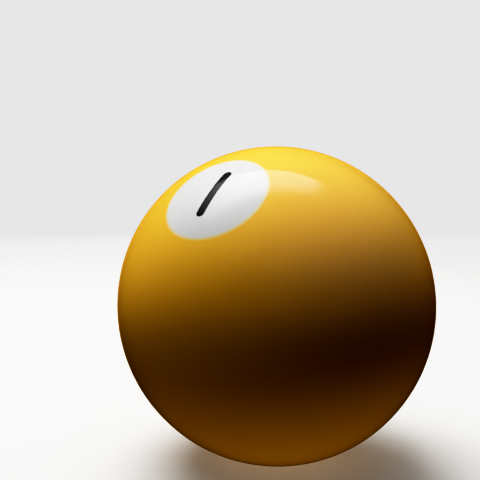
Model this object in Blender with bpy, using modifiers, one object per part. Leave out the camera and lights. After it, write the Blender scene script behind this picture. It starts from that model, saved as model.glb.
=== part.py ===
"""A numbered pool ball: one cast resin body with two inlaid number discs.

Metres, +Z up, with the origin at the ball's centre. The number axis runs through
both discs. It leans forward, so the front disc faces -Y and up, as the ball lies.
Each side of the ball is modelled in an upright frame, with its disc at the top of
the ball, and an empty then turns that frame into place.
"""

import math

import bmesh
import bpy

# The ball.
BALL_DIAMETER = 0.05715  # a regulation pool ball, 2 1/4 in
NUMBER_AXIS_TILT = math.radians(45)  # from straight up, towards -Y

# The white number discs, set into pockets at both ends of the number axis.
DISC_DIAMETER = 0.0177
DISC_DEPTH = 0.005  # from the crown of the disc to its flat back
DISC_BACK_RADIUS = 0.0008  # rounding of the edge between the wall and the back

# The black numeral, a plain upright stroke with round ends, set into its disc.
NUMERAL_LENGTH = 0.01
NUMERAL_WIDTH = 0.00145
NUMERAL_DEPTH = 0.0022  # from the crown of the disc to the numeral's flat back
NUMERAL_LEAN = math.radians(7)  # clockwise from upright, seen from outside

# Clearances between the pieces, which the casting resin fills on a real ball.
DISC_GAP = 0.0003
NUMERAL_GAP = 0.00015

# How finely round shapes are divided.
FACET_ANGLE = math.radians(5)  # of the body, round the number axis and along it
TURN_STEPS = round(2 * math.pi / FACET_ANGLE)
CROWN_STEPS = 4  # along a disc's domed face, from its centre to its edge
CORNER_STEPS = 3
STROKE_END_STEPS = 10
MERGE_DISTANCE = 0.00001
SHARP_ANGLE = math.radians(30)

# Base colour (linear RGB) and roughness of each resin.
BODY_COLOUR = (0.89, 0.52, 0.035)
DISC_COLOUR = (0.86, 0.85, 0.82)
NUMERAL_COLOUR = (0.012, 0.012, 0.013)
GLOSS_ROUGHNESS = 0.12

BALL_RADIUS = BALL_DIAMETER / 2
DISC_RADIUS = DISC_DIAMETER / 2


def clear_scene():
    for old in list(bpy.data.objects):
        bpy.data.objects.remove(old, do_unlink=True)


def new_collection(name):
    collection = bpy.data.collections.new(name)
    bpy.context.scene.collection.children.link(collection)
    return collection


def resin(name, colour):
    material = bpy.data.materials.new(name)
    material.use_nodes = True
    shader = material.node_tree.nodes["Principled BSDF"]
    shader.inputs["Base Color"].default_value = (*colour, 1.0)
    shader.inputs["Roughness"].default_value = GLOSS_ROUGHNESS
    shader.inputs["Metallic"].default_value = 0.0
    return material


def arc(centre, radius, start, end, steps):
    """Points (x, z) on an arc; angles are measured from +X towards +Z."""
    angles = [start + (end - start) * i / steps for i in range(steps + 1)]
    return [(centre[0] + radius * math.cos(a), centre[1] + radius * math.sin(a)) for a in angles]


def crown(radius):
    """The ball's surface, from its top out to the given distance from the axis."""
    edge = math.acos(radius / BALL_RADIUS)
    points = arc((0, 0), BALL_RADIUS, math.pi / 2, edge, CROWN_STEPS)
    points[0] = (0, BALL_RADIUS)
    return points


def disc_profile():
    """A number disc: domed face, straight wall, rounded back edge and flat back."""
    back = BALL_RADIUS - DISC_DEPTH
    corner = (DISC_RADIUS - DISC_BACK_RADIUS, back + DISC_BACK_RADIUS)
    back_edge = arc(corner, DISC_BACK_RADIUS, 0, -math.pi / 2, CORNER_STEPS)
    return crown(DISC_RADIUS) + back_edge + [(0, back)]


def pocket_profile():
    """Half of a pocket for a disc, from the middle of its floor to the foot of its wall."""
    radius = DISC_RADIUS + DISC_GAP
    floor = BALL_RADIUS - DISC_DEPTH - DISC_GAP
    rounding = DISC_BACK_RADIUS + DISC_GAP
    corner = (radius - rounding, floor + rounding)
    return [(0, floor)] + arc(corner, rounding, -math.pi / 2, 0, CORNER_STEPS)


def body_profile():
    """The body: top pocket, ball surface and bottom pocket.

    The surface has whole facets to each side of the ball's equator, so that it
    reaches its full radius on every world axis, and a narrow one at each rim.
    """
    rim = math.acos((DISC_RADIUS + DISC_GAP) / BALL_RADIUS)
    rim_point = (BALL_RADIUS * math.cos(rim), BALL_RADIUS * math.sin(rim))
    top_pocket = pocket_profile() + [rim_point]
    bottom_pocket = [(x, -z) for x, z in reversed(top_pocket)]
    facets = int(rim / FACET_ANGLE)
    last = facets * FACET_ANGLE
    return top_pocket + arc((0, 0), BALL_RADIUS, last, -last, 2 * facets) + bottom_pocket


def numeral_blank_profile():
    """A plug with the ball's domed face, from which the numeral's stroke is cut."""
    back = BALL_RADIUS - NUMERAL_DEPTH
    return crown(DISC_RADIUS) + [(DISC_RADIUS, back), (0, back)]


def turned(name, profile, collection):
    """A solid of revolution about Z from a profile that runs down its outer side."""
    mesh = bpy.data.meshes.new(name)
    edges = [(i, i + 1) for i in range(len(profile) - 1)]
    mesh.from_pydata([(x, 0, z) for x, z in profile], edges, [])
    obj = bpy.data.objects.new(name, mesh)
    collection.objects.link(obj)
    screw = obj.modifiers.new("turn", "SCREW")
    screw.axis = "Z"
    screw.steps = TURN_STEPS
    screw.render_steps = TURN_STEPS
    screw.use_merge_vertices = True
    screw.merge_threshold = MERGE_DISTANCE
    return obj


def stroke_outline(length, width):
    """An upright stroke with round ends, centred on the origin."""
    straight = length / 2 - width / 2
    top = arc((0, straight), width / 2, 0, math.pi, STROKE_END_STEPS)
    bottom = arc((0, -straight), width / 2, math.pi, 2 * math.pi, STROKE_END_STEPS)
    return top + bottom


def stroke_cutter(name, clearance, floor, parent, collection):
    """A prism of the numeral's stroke, from the height of its floor to above the ball."""
    outline = stroke_outline(NUMERAL_LENGTH + 2 * clearance, NUMERAL_WIDTH + 2 * clearance)
    top = BALL_RADIUS + NUMERAL_DEPTH
    curve = bpy.data.curves.new(name, "CURVE")
    curve.dimensions = "2D"
    curve.fill_mode = "BOTH"
    curve.extrude = (top - floor) / 2
    spline = curve.splines.new("POLY")
    spline.points.add(len(outline) - 1)
    for point, (x, y) in zip(spline.points, outline):
        point.co = (x, y, 0, 1)
    spline.use_cyclic_u = True
    flat = bpy.data.objects.new(name + "_outline", curve)
    collection.objects.link(flat)
    flat.parent = parent
    flat.location = (0, 0, (top + floor) / 2)
    flat.rotation_euler = (0, 0, -NUMERAL_LEAN)
    bpy.context.view_layer.update()

    depsgraph = bpy.context.evaluated_depsgraph_get()
    mesh = bpy.data.meshes.new_from_object(flat.evaluated_get(depsgraph))
    welded = bmesh.new()
    welded.from_mesh(mesh)
    bmesh.ops.remove_doubles(welded, verts=welded.verts, dist=MERGE_DISTANCE)
    welded.to_mesh(mesh)
    welded.free()
    cutter = bpy.data.objects.new(name, mesh)
    cutter.matrix_world = flat.matrix_world
    cutter.hide_render = True
    cutter.display_type = "WIRE"
    collection.objects.link(cutter)
    bpy.data.objects.remove(flat, do_unlink=True)
    return cutter


def cut(obj, cutter, operation):
    boolean = obj.modifiers.new("stroke", "BOOLEAN")
    boolean.operation = operation
    boolean.object = cutter
    boolean.solver = "EXACT"


def finish(obj, material):
    """Keep the evaluated shape, shaded smooth between its sharp edges."""
    bpy.context.view_layer.update()
    depsgraph = bpy.context.evaluated_depsgraph_get()
    mesh = bpy.data.meshes.new_from_object(obj.evaluated_get(depsgraph))
    obj.modifiers.clear()
    obj.data = mesh
    mesh.name = obj.name
    mesh.shade_smooth()
    mesh.set_sharp_from_angle(angle=SHARP_ANGLE)
    mesh.materials.clear()
    mesh.materials.append(material)


def new_frame(name, tilt, parent, collection):
    frame = bpy.data.objects.new(name, None)
    frame.empty_display_size = BALL_RADIUS
    frame.rotation_euler = (tilt, 0, 0)
    frame.parent = parent
    collection.objects.link(frame)
    return frame


def make_body(frame, parts):
    body = turned("ball_body", body_profile(), parts)
    body.parent = frame
    finish(body, resin("body_resin", BODY_COLOUR))


def make_number(side, frame, parts, cutters):
    """One white disc with its black numeral, at the top of the given frame."""
    back = BALL_RADIUS - NUMERAL_DEPTH
    slot = stroke_cutter(side + "_slot_cutter", NUMERAL_GAP, back - NUMERAL_GAP, frame, cutters)
    stroke = stroke_cutter(side + "_stroke_cutter", 0, back - NUMERAL_DEPTH, frame, cutters)

    disc = turned("number_disc_" + side, disc_profile(), parts)
    disc.parent = frame
    cut(disc, slot, "DIFFERENCE")
    finish(disc, resin("disc_resin_" + side, DISC_COLOUR))

    numeral = turned("numeral_" + side, numeral_blank_profile(), parts)
    numeral.parent = frame
    cut(numeral, stroke, "INTERSECT")
    finish(numeral, resin("numeral_resin_" + side, NUMERAL_COLOUR))


def make_ball():
    clear_scene()
    parts = new_collection("numbered_pool_ball")
    cutters = new_collection("cutters")
    front = new_frame("number_axis", NUMBER_AXIS_TILT, None, parts)
    back = new_frame("back_side", math.pi, front, parts)
    make_body(front, parts)
    make_number("front", front, parts, cutters)
    make_number("back", back, parts, cutters)


make_ball()
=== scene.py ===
"""The numbered pool ball in polished resin, and the studio that it stands in.

The number axis runs through both discs and leans forward, so the front disc faces -Y
and up. Every piece is modelled upright, with its disc at the top of the ball, and is
then turned into place.
"""

import math

import bpy
from mathutils import Matrix, Vector


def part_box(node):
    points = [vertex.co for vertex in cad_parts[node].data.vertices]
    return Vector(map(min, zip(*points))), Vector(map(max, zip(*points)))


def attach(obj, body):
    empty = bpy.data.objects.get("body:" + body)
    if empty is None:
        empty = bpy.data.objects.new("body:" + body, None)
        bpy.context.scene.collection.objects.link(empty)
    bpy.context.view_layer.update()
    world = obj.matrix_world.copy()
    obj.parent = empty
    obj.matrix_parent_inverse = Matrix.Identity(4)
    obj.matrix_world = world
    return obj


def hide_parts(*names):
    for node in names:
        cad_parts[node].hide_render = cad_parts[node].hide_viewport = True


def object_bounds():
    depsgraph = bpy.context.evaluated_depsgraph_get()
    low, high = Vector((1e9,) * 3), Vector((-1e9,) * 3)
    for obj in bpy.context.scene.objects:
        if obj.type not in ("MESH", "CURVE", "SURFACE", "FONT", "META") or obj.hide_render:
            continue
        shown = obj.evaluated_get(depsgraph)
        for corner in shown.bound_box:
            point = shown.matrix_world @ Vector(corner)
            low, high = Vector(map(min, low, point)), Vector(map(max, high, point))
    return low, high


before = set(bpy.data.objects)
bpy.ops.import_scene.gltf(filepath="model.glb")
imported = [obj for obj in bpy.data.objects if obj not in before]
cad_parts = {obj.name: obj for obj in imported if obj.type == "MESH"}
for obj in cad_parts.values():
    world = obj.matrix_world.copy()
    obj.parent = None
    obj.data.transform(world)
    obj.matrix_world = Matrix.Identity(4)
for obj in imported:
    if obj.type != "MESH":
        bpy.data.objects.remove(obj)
CAD_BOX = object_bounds()

# Sizes, in metres. The radii of the ball and of its discs come from the frame.
BALL_RADIUS = (CAD_BOX[1].z - CAD_BOX[0].z) / 2
DISC_LOW, DISC_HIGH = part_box("number_disc_front")
DISC_RADIUS = (DISC_HIGH.x - DISC_LOW.x) / 2
DISC_DEPTH = 0.005
DISC_BACK_RADIUS = 0.0008  # rounding of the edge between the wall and the back
NUMERAL_LENGTH = 0.01
NUMERAL_WIDTH = 0.00145
NUMERAL_DEPTH = 0.0022
NUMERAL_LEAN = math.radians(7)
NUMBER_AXIS_TILT = math.radians(45)
SEAM = 0.000008  # the hairline between two polished pieces

# How finely round shapes are divided.
TURN_STEPS = 256
BODY_RINGS = 144
CROWN_RINGS = 24
CORNER_STEPS = 6
STROKE_END_STEPS = 32
FLOOR_TURN_STEPS = 96
FLOOR_BEND_STEPS = 24
SHARP_ANGLE = math.radians(30)
ON_THE_BALL = BALL_RADIUS * 1e-4  # how near the true ball a polished vertex lies

# The camera: its lens and sensor in millimetres, its axis, and the ball's place off that axis.
LENS = 50
SENSOR_WIDTH = 36
CAMERA_AZIMUTH = math.radians(31.65)
CAMERA_PITCH = math.radians(3.4)
CAMERA_DISTANCE = 4.325 * BALL_RADIUS
BALL_TO_RIGHT = 0.0522  # tangents of the angles between the axis and the ball's centre
BALL_BELOW = 0.0943

# The resins' surface. Noise scales are in cells a metre, and heights are in metres.
NOISE_RANGE = (0.3, 0.7)  # the values between which nearly all of a noise lies
RESIN_IOR = 1.6
CLOUD_SCALE = 70
POLISH_SCALE = 140
POLISH_SPREAD = 0.2  # share of the roughness that the polish varies by, either way
WAVE_SCALE = 190
WAVE_HEIGHT = 0.000006
SCRATCHES = [((0.4, 0.3, 0.0), 2600), ((1.5, 0.2, 0.9), 3100), ((0.7, 1.3, 0.4), 2100)]  # turn, scale
SCRATCH_SQUEEZE = 0.03  # the scale along a scratch, as a share of the scale across it
SCRATCH_RANGE = (0.66, 0.74)  # the noise values where a scratch begins and where it is full
SCRATCH_ROUGHNESS = 0.10
SCRATCH_DEPTH = 0.0000015

# The area lights.
LIGHT_DISTANCE = 1.0
LIGHT_SIZE = 0.8


# Meshes.

def arc(centre, radius, start, end, steps):
    angles = [start + (end - start) * i / steps for i in range(steps + 1)]
    return [(centre[0] + radius * math.cos(a), centre[1] + radius * math.sin(a)) for a in angles]


def add_object(name, data):
    obj = bpy.data.objects.new(name, data)
    bpy.context.scene.collection.objects.link(obj)
    return obj


def lathe(name, profile, steps, closed=True):
    """A turned surface about Z; the profile starts on the axis and, if closed, ends on it too."""
    rings = profile[1:-1] if closed else profile[1:]
    verts = [(0, 0, profile[0][1])]
    for radius, height in rings:
        for step in range(steps):
            turn = 2 * math.pi * step / steps
            verts.append((radius * math.cos(turn), radius * math.sin(turn), height))
    last = len(verts)
    if closed:
        verts.append((0, 0, profile[-1][1]))
    faces = []
    for step in range(steps):
        after = (step + 1) % steps
        faces.append((0, 1 + step, 1 + after))
        for ring in range(len(rings) - 1):
            here = 1 + ring * steps
            below = here + steps
            faces.append((here + step, below + step, below + after, here + after))
        if closed:
            faces.append((last - steps + step, last, last - steps + after))
    mesh = bpy.data.meshes.new(name)
    mesh.from_pydata(verts, [], faces)
    mesh.update()
    return add_object(name, mesh)


def crown(radius):
    """The profile of the ball's surface from its top out to a radius."""
    edge = math.acos(radius / BALL_RADIUS)
    points = arc((0, 0), BALL_RADIUS, math.pi / 2, edge, CROWN_RINGS)
    points[0] = (0, BALL_RADIUS)
    return points


def disc_profile():
    radius = DISC_RADIUS - SEAM
    back = BALL_RADIUS - DISC_DEPTH
    corner = (radius - DISC_BACK_RADIUS, back + DISC_BACK_RADIUS)
    rounding = arc(corner, DISC_BACK_RADIUS, 0, -math.pi / 2, CORNER_STEPS)
    return crown(radius) + rounding + [(0, back)]


def numeral_blank_profile():
    radius = DISC_RADIUS - SEAM
    back = BALL_RADIUS - NUMERAL_DEPTH
    return crown(radius) + [(radius, back), (0, back)]


def body_profile():
    """The ball with a pocket for a disc at its top and another at its bottom."""
    back = BALL_RADIUS - DISC_DEPTH - SEAM
    corner = (DISC_RADIUS - DISC_BACK_RADIUS, back + DISC_BACK_RADIUS)
    top = [(0, back)] + arc(corner, DISC_BACK_RADIUS, -math.pi / 2, 0, CORNER_STEPS)
    bottom = [(x, -z) for x, z in reversed(top)]
    rim = math.acos(DISC_RADIUS / BALL_RADIUS)
    return top + arc((0, 0), BALL_RADIUS, rim, -rim, BODY_RINGS) + bottom


def stroke_prism(name, clearance, floor):
    """A prism of the numeral's upright stroke, from the height of its floor to above the ball."""
    half = NUMERAL_WIDTH / 2 + clearance
    straight = NUMERAL_LENGTH / 2 - NUMERAL_WIDTH / 2
    outline = arc((0, straight), half, 0, math.pi, STROKE_END_STEPS)
    outline += arc((0, -straight), half, math.pi, 2 * math.pi, STROKE_END_STEPS)
    top = BALL_RADIUS + NUMERAL_DEPTH
    count = len(outline)
    verts = [(x, y, z) for z in (floor, top) for x, y in outline]
    faces = [tuple(reversed(range(count))), tuple(range(count, 2 * count))]
    for i in range(count):
        after = (i + 1) % count
        faces.append((i, after, count + after, count + i))
    mesh = bpy.data.meshes.new(name)
    mesh.from_pydata(verts, [], faces)
    mesh.transform(Matrix.Rotation(-NUMERAL_LEAN, 4, "Z"))
    return add_object(name, mesh)


def boolean(obj, cutter, operation):
    modifier = obj.modifiers.new("stroke", "BOOLEAN")
    modifier.operation = operation
    modifier.object = cutter
    modifier.solver = "EXACT"
    bpy.context.view_layer.update()
    depsgraph = bpy.context.evaluated_depsgraph_get()
    mesh = bpy.data.meshes.new_from_object(obj.evaluated_get(depsgraph))
    obj.modifiers.clear()
    obj.data = mesh
    bpy.data.objects.remove(cutter, do_unlink=True)


def shade_round(obj):
    """Smooth shading, with the ball's own normals on its polished surface."""
    mesh = obj.data
    mesh.shade_smooth()
    mesh.set_sharp_from_angle(angle=SHARP_ANGLE)
    mesh.update()
    normals = [Vector(corner.vector) for corner in mesh.corner_normals]
    for face in mesh.polygons:
        corners = [mesh.vertices[mesh.loops[i].vertex_index].co for i in face.loop_indices]
        if all(abs(co.length - BALL_RADIUS) < ON_THE_BALL for co in corners):
            for loop, co in zip(face.loop_indices, corners):
                normals[loop] = co.normalized()
    mesh.normals_split_custom_set(normals)


# Materials.

def rgba(r, g, b):
    return (r, g, b, 1.0)


class Nodes:
    """Short calls for building the node tree of a material or a world."""

    def __init__(self, owner):
        owner.use_nodes = True
        self.tree = owner.node_tree

    def add(self, kind, inputs=None, **settings):
        node = self.tree.nodes.new("ShaderNode" + kind)
        for key, value in settings.items():
            setattr(node, key, value)
        for key, value in (inputs or {}).items():
            self.put(node.inputs[key], value)
        return node

    def put(self, socket, value):
        if isinstance(value, bpy.types.NodeSocket):
            self.tree.links.new(value, socket)
        else:
            socket.default_value = value

    def math(self, operation, *values):
        node = self.add("Math", operation=operation)
        for socket, value in zip(node.inputs, values):
            self.put(socket, value)
        return node.outputs[0]

    def smooth(self, value, start, end, low=0.0, high=1.0):
        """A soft step from low at start to high at end."""
        inputs = {"Value": value, "From Min": start, "From Max": end, "To Min": low, "To Max": high}
        node = self.add("MapRange", inputs, interpolation_type="SMOOTHSTEP")
        return node.outputs["Result"]

    def mix(self, factor, a, b):
        node = self.add("Mix", data_type="RGBA")
        self.put(node.inputs["Factor"], factor)
        self.put(node.inputs["A"], a)
        self.put(node.inputs["B"], b)
        return node.outputs["Result"]

    def position(self):
        return self.add("TexCoord").outputs["Object"]

    def noise(self, scale, detail, vector=None):
        node = self.add("TexNoise", {"Scale": scale, "Detail": detail})
        self.put(node.inputs["Vector"], vector if vector else self.position())
        return node.outputs["Fac"]

    def distance_from_z(self, place):
        xyz = self.add("SeparateXYZ", {"Vector": place})
        x, y = xyz.outputs["X"], xyz.outputs["Y"]
        return self.math("SQRT", self.math("ADD", self.math("MULTIPLY", x, x), self.math("MULTIPLY", y, y)))

    def lobe(self, towards, centre, power):
        """A round glow in the directions near its centre; a higher power makes it narrower."""
        facing = self.add("VectorMath", {0: towards, 1: centre}, operation="DOT_PRODUCT")
        return self.math("POWER", self.math("MAXIMUM", facing.outputs["Value"], 0.0), power)


def streaks(n, turn, scale):
    """Thin, faint lines across the piece: noise that is drawn out along one direction."""
    along = scale * SCRATCH_SQUEEZE
    place = n.add("Mapping", {"Vector": n.position(), "Rotation": turn, "Scale": (scale, scale, along)})
    return n.smooth(n.noise(1, 1, place.outputs["Vector"]), *SCRATCH_RANGE)


def polished_resin(name, colour, deep, roughness, gloss_tint=(1, 1, 1), fringe=None):
    """Polished cast resin: faint clouding, uneven polish and fine wear scratches.

    The clouding turns the colour towards the deep one. A fringe is a width and a colour
    that the resin takes at the discs' edge: outside it for a width above 0, inside it
    for one below.
    """
    material = bpy.data.materials.new(name)
    n = Nodes(material)
    shader = n.tree.nodes["Principled BSDF"]
    clouds = n.smooth(n.noise(CLOUD_SCALE, detail=4), *NOISE_RANGE)
    tone = n.mix(clouds, rgba(*colour), rgba(*deep))
    if fringe:
        width, fringe_colour = fringe
        turned = {"Vector": n.position(), "Angle": -NUMBER_AXIS_TILT}
        upright = n.add("VectorRotate", turned, rotation_type="X_AXIS").outputs["Vector"]
        edge = n.smooth(n.distance_from_z(upright), DISC_RADIUS + width, DISC_RADIUS)
        tone = n.mix(edge, tone, rgba(*fringe_colour))
    n.put(shader.inputs["Base Color"], tone)

    scratches = 0.0
    for turn, scale in SCRATCHES:
        scratches = n.math("MAXIMUM", scratches, streaks(n, turn, scale))
    least, most = roughness * (1 - POLISH_SPREAD), roughness * (1 + POLISH_SPREAD)
    polish = n.smooth(n.noise(POLISH_SCALE, detail=3), *NOISE_RANGE, least, most)
    worn = n.math("MULTIPLY", scratches, SCRATCH_ROUGHNESS)
    n.put(shader.inputs["Roughness"], n.math("ADD", polish, worn))

    waves = n.math("MULTIPLY", n.noise(WAVE_SCALE, detail=1), WAVE_HEIGHT)
    relief = n.math("SUBTRACT", waves, n.math("MULTIPLY", scratches, SCRATCH_DEPTH))
    bump = n.add("Bump", {"Height": relief, "Strength": 1.0, "Distance": 1.0})
    n.put(shader.inputs["Normal"], bump.outputs["Normal"])
    shader.inputs["IOR"].default_value = RESIN_IOR
    shader.inputs["Specular Tint"].default_value = rgba(*gloss_tint)
    return material


BODY = polished_resin(
    "golden_resin",
    colour=(0.905, 0.534, 0.098),
    deep=(0.885, 0.518, 0.092),
    roughness=0.05,
    gloss_tint=(0.97, 0.67, 1.17),
    fringe=(0.0003, (0.90, 0.62, 0.22)),
)
WHITE = polished_resin(
    "white_resin",
    colour=(0.70, 0.70, 0.705),
    deep=(0.685, 0.685, 0.69),
    roughness=0.05,
    gloss_tint=(1.4, 1.4, 1.4),
    fringe=(-0.0005, (0.80, 0.68, 0.36)),
)
BLACK = polished_resin(
    "black_resin",
    colour=(0.026, 0.026, 0.0265),
    deep=(0.030, 0.030, 0.030),
    roughness=0.07,
)


# The ball's pieces.

def finish_piece(obj, pose, material, node):
    obj.data.transform(pose)
    shade_round(obj)
    obj.data.materials.clear()
    obj.data.materials.append(material)
    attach(obj, "root")
    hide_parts(node)


def make_side(side, pose):
    """One number disc with its numeral."""
    disc = lathe("white_disc_" + side, disc_profile(), TURN_STEPS)
    back = BALL_RADIUS - NUMERAL_DEPTH
    boolean(disc, stroke_prism("slot", SEAM, back - SEAM), "DIFFERENCE")
    stroke = lathe("black_numeral_" + side, numeral_blank_profile(), TURN_STEPS)
    boolean(stroke, stroke_prism("stroke", 0, back - NUMERAL_DEPTH), "INTERSECT")
    finish_piece(disc, pose, WHITE, "number_disc_" + side)
    finish_piece(stroke, pose, BLACK, "numeral_" + side)


FRONT = Matrix.Rotation(NUMBER_AXIS_TILT, 4, "X")
BACK = FRONT @ Matrix.Rotation(math.pi, 4, "X")
body = lathe("polished_body", body_profile(), TURN_STEPS)
finish_piece(body, FRONT, BODY, "ball_body")
make_side("front", FRONT)
make_side("back", BACK)


# The studio. An azimuth of 0 is the ball's front, -Y, and 90 is +X; an elevation of 90 is up.

def direction(azimuth, elevation):
    a, e = math.radians(azimuth), math.radians(elevation)
    return Vector((math.sin(a) * math.cos(e), -math.cos(a) * math.cos(e), math.sin(e)))


def make_camera():
    level, rise = math.cos(CAMERA_PITCH), math.sin(CAMERA_PITCH)
    right = Vector((math.cos(CAMERA_AZIMUTH), math.sin(CAMERA_AZIMUTH), 0))
    back = Vector((math.sin(CAMERA_AZIMUTH) * level, -math.cos(CAMERA_AZIMUTH) * level, rise))
    up = back.cross(right)
    to_ball = (right * BALL_TO_RIGHT - up * BALL_BELOW - back).normalized()
    data = bpy.data.cameras.new("camera")
    data.lens = LENS
    data.sensor_width = SENSOR_WIDTH
    data.clip_start = 0.01
    data.clip_end = 10
    camera = add_object("camera", data)
    turn = Matrix((right, up, back)).transposed().to_4x4()
    camera.matrix_world = Matrix.Translation(-to_ball * CAMERA_DISTANCE) @ turn
    bpy.context.scene.camera = camera


def make_floor():
    """A round pale floor that bends up into a backdrop.

    The lights shade it near the ball, and further out it only glows.
    """
    middle, flat, bend, top = 0.05, 1.0, 0.6, 1.3
    shaded, glowing = 0.15, 0.9  # distances from the ball's axis
    near_glow, far_glow = 0.25, 1.35
    profile = [(0, 0), (middle, 0), (flat, 0)]
    profile += arc((flat, bend), bend, -math.pi / 2, 0, FLOOR_BEND_STEPS)[1:]
    profile.append((flat + bend, top))
    floor = lathe("floor", profile, FLOOR_TURN_STEPS, closed=False)
    floor.data.shade_smooth()
    floor.location = (0, 0, CAD_BOX[0].z)
    material = bpy.data.materials.new("pale_floor")
    n = Nodes(material)
    shader = n.tree.nodes["Principled BSDF"]
    far = n.smooth(n.distance_from_z(n.position()), shaded, glowing)
    n.put(shader.inputs["Base Color"], n.mix(far, rgba(0.50, 0.50, 0.50), rgba(0, 0, 0)))
    n.put(shader.inputs["Emission Color"], rgba(1, 1, 1))
    n.put(shader.inputs["Emission Strength"], n.smooth(far, 0, 1, near_glow, far_glow))
    shader.inputs["Roughness"].default_value = 0.9
    shader.inputs["Specular IOR Level"].default_value = 0.0
    floor.data.materials.append(material)
    floor.visible_glossy = False
    floor.visible_diffuse = False
    floor.visible_shadow = False  # so that the world's light from below reaches the ball


def area_light(name, azimuth, elevation, colour, power):
    data = bpy.data.lights.new(name, "AREA")
    data.shape = "SQUARE"
    data.size = LIGHT_SIZE
    data.color = colour
    data.energy = power
    light = add_object(name, data)
    towards = direction(azimuth, elevation)
    turn = towards.to_track_quat("Z", "Y").to_matrix().to_4x4()
    light.matrix_world = Matrix.Translation(towards * LIGHT_DISTANCE) @ turn
    light.visible_camera = False
    light.visible_glossy = False


def make_softbox():
    """The overhead softbox whose reflection lies across the crown of the ball.

    Its panel is laid out in units of its height, with a to the right and b to the far side.
    Only reflections show it, and it fades out towards each of its sides. Each fade runs from
    the place where the panel is dark to the place where it is fully lit.
    """
    height = 1.2
    brightness = 3.6
    turn = math.radians(21)
    along = Vector((math.cos(turn), math.sin(turn), 0))
    across = Vector((-math.sin(turn), math.cos(turn), 0))
    left, right, near, far = -1.02, 0.45, -0.50, 0.46
    left_fade, right_fade = (-1.0, -0.22), (0.44, 0.25)
    near_fade, far_fade = (-0.12, 0.13), (0.437, 0.407)
    near_slant = 0.30
    far_rounding, rounding_centre = 0.22, -0.1
    corners = [(left, near), (right, near), (right, far), (left, far)]
    places = [(along * a + across * b) * height for a, b in corners]
    mesh = bpy.data.meshes.new("softbox")
    mesh.from_pydata([(place.x, place.y, height) for place in places], [], [(0, 3, 2, 1)])
    uv = mesh.uv_layers.new(name="uv")
    for loop in mesh.loops:
        uv.data[loop.index].uv = corners[loop.vertex_index]
    softbox = add_object("softbox", mesh)

    material = bpy.data.materials.new("softbox_glow")
    n = Nodes(material)
    panel = n.add("SeparateXYZ", {"Vector": n.add("TexCoord").outputs["UV"]})
    a, b = panel.outputs["X"], panel.outputs["Y"]
    aside = n.math("SUBTRACT", a, rounding_centre)
    rounding = n.math("MULTIPLY", n.math("MULTIPLY", aside, aside), far_rounding)
    far_side = n.smooth(n.math("ADD", b, rounding), *far_fade)
    slant = n.math("MULTIPLY", a, near_slant)
    near_side = n.smooth(n.math("SUBTRACT", b, slant), *near_fade)
    left_side = n.smooth(a, *left_fade)
    right_side = n.smooth(a, *right_fade)
    glow = brightness
    for side in (left_side, right_side, near_side, far_side):
        glow = n.math("MULTIPLY", glow, side)
    emission = n.add("Emission", {"Color": rgba(1, 1, 1), "Strength": glow})
    clear = n.add("BsdfTransparent")
    both = n.add("AddShader", {0: emission.outputs[0], 1: clear.outputs[0]})
    n.put(n.tree.nodes["Material Output"].inputs["Surface"], both.outputs[0])
    mesh.materials.append(material)
    softbox.visible_camera = False
    softbox.visible_diffuse = False
    softbox.visible_shadow = False


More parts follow.
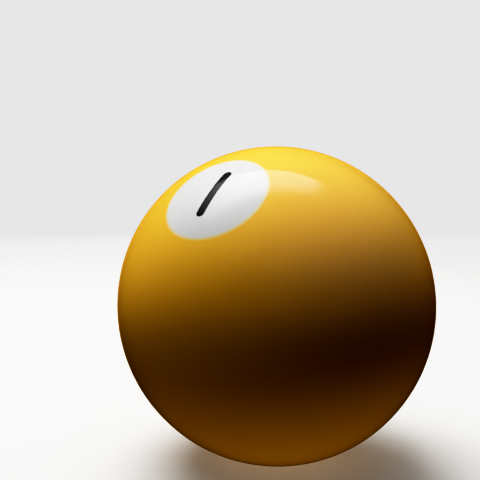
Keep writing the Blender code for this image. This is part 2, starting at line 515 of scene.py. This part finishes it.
def make_world():
    """What reflections show of the room, and the light that the floor throws back.

    Reflections show the ceiling, a dim wall all round and a brighter glow behind the ball.
    Everything else gets the floor's light, from straight below and from its lit part.
    """
    floor_light, lit_floor_share = rgba(5.4, 4.8, 3.4), 0.27
    below_power, lit_floor_power, ceiling_power = 16, 5, 1.7
    wall_light, ceiling_light = rgba(1.5, 0.68, 0.06), rgba(0.92, 0.92, 0.92)
    wall_share, glow_share = 0.3, 0.75
    wall_foot, wall_top = (-0.30, 0.15), (0.45, 0.10)  # heights where it is dark and lit
    glow_edge, glow_heart = math.radians(35), math.radians(10)  # angles from its centre
    black = rgba(0, 0, 0)
    world = bpy.data.worlds.new("studio")
    bpy.context.scene.world = world
    n = Nodes(world)
    towards = n.add("TexCoord").outputs["Generated"]
    height = n.add("SeparateXYZ", {"Vector": towards}).outputs["Z"]

    below = n.lobe(towards, direction(0, -90), below_power)
    lit_floor = n.lobe(towards, direction(195, -42), lit_floor_power)
    lit_floor = n.math("MULTIPLY", lit_floor, lit_floor_share)
    bounce = n.mix(n.math("ADD", below, lit_floor), black, floor_light)

    wall = n.math("MULTIPLY", n.smooth(height, *wall_foot), n.smooth(height, *wall_top))
    behind = n.add("VectorMath", {0: towards, 1: direction(213, 6)}, operation="DOT_PRODUCT")
    glow = n.smooth(behind.outputs["Value"], math.cos(glow_edge), math.cos(glow_heart), 0, glow_share)
    lit = n.math("MAXIMUM", n.math("MULTIPLY", wall, wall_share), glow)
    room = n.mix(lit, black, wall_light)
    ceiling = n.mix(n.lobe(towards, direction(95, 58), ceiling_power), black, ceiling_light)
    seen = n.add("Mix", data_type="RGBA", blend_type="ADD")
    seen.inputs["Factor"].default_value = 1.0
    n.put(seen.inputs["A"], room)
    n.put(seen.inputs["B"], ceiling)

    glossy = n.add("LightPath").outputs["Is Glossy Ray"]
    background = n.tree.nodes["Background"]
    n.put(background.inputs["Color"], n.mix(glossy, bounce, seen.outputs["Result"]))
    background.inputs["Strength"].default_value = 1.0


def film_response():
    """Deeper shadows and highlights that roll off softly, as on film."""
    settings = bpy.context.scene.view_settings
    settings.view_transform = "Standard"
    settings.use_curve_mapping = True
    mapping = settings.curve_mapping
    brightest, black, contrast, steps = 3.0, 0.03, 1.7, 15
    mapping.white_level = (brightest, brightest, brightest)
    curve = mapping.curves[3]  # the one for the three colours together
    for i in range(steps + 1):
        light = brightest * (i / steps) ** 2
        shown = 1 - math.exp(-max(0.0, light - black) ** contrast)
        if i in (0, steps):
            curve.points[0 if i == 0 else -1].location = (light / brightest, shown)
        else:
            curve.points.new(light / brightest, shown)
    mapping.update()


make_camera()
make_floor()
area_light("left_behind", azimuth=-120, elevation=60, colour=(1, 0.97, 0.92), power=17.2)
area_light("above", azimuth=-60, elevation=75, colour=(1, 1, 1), power=20.7)
area_light("behind", azimuth=178, elevation=70, colour=(1, 1, 1), power=6.0)
make_softbox()
make_world()
film_response()
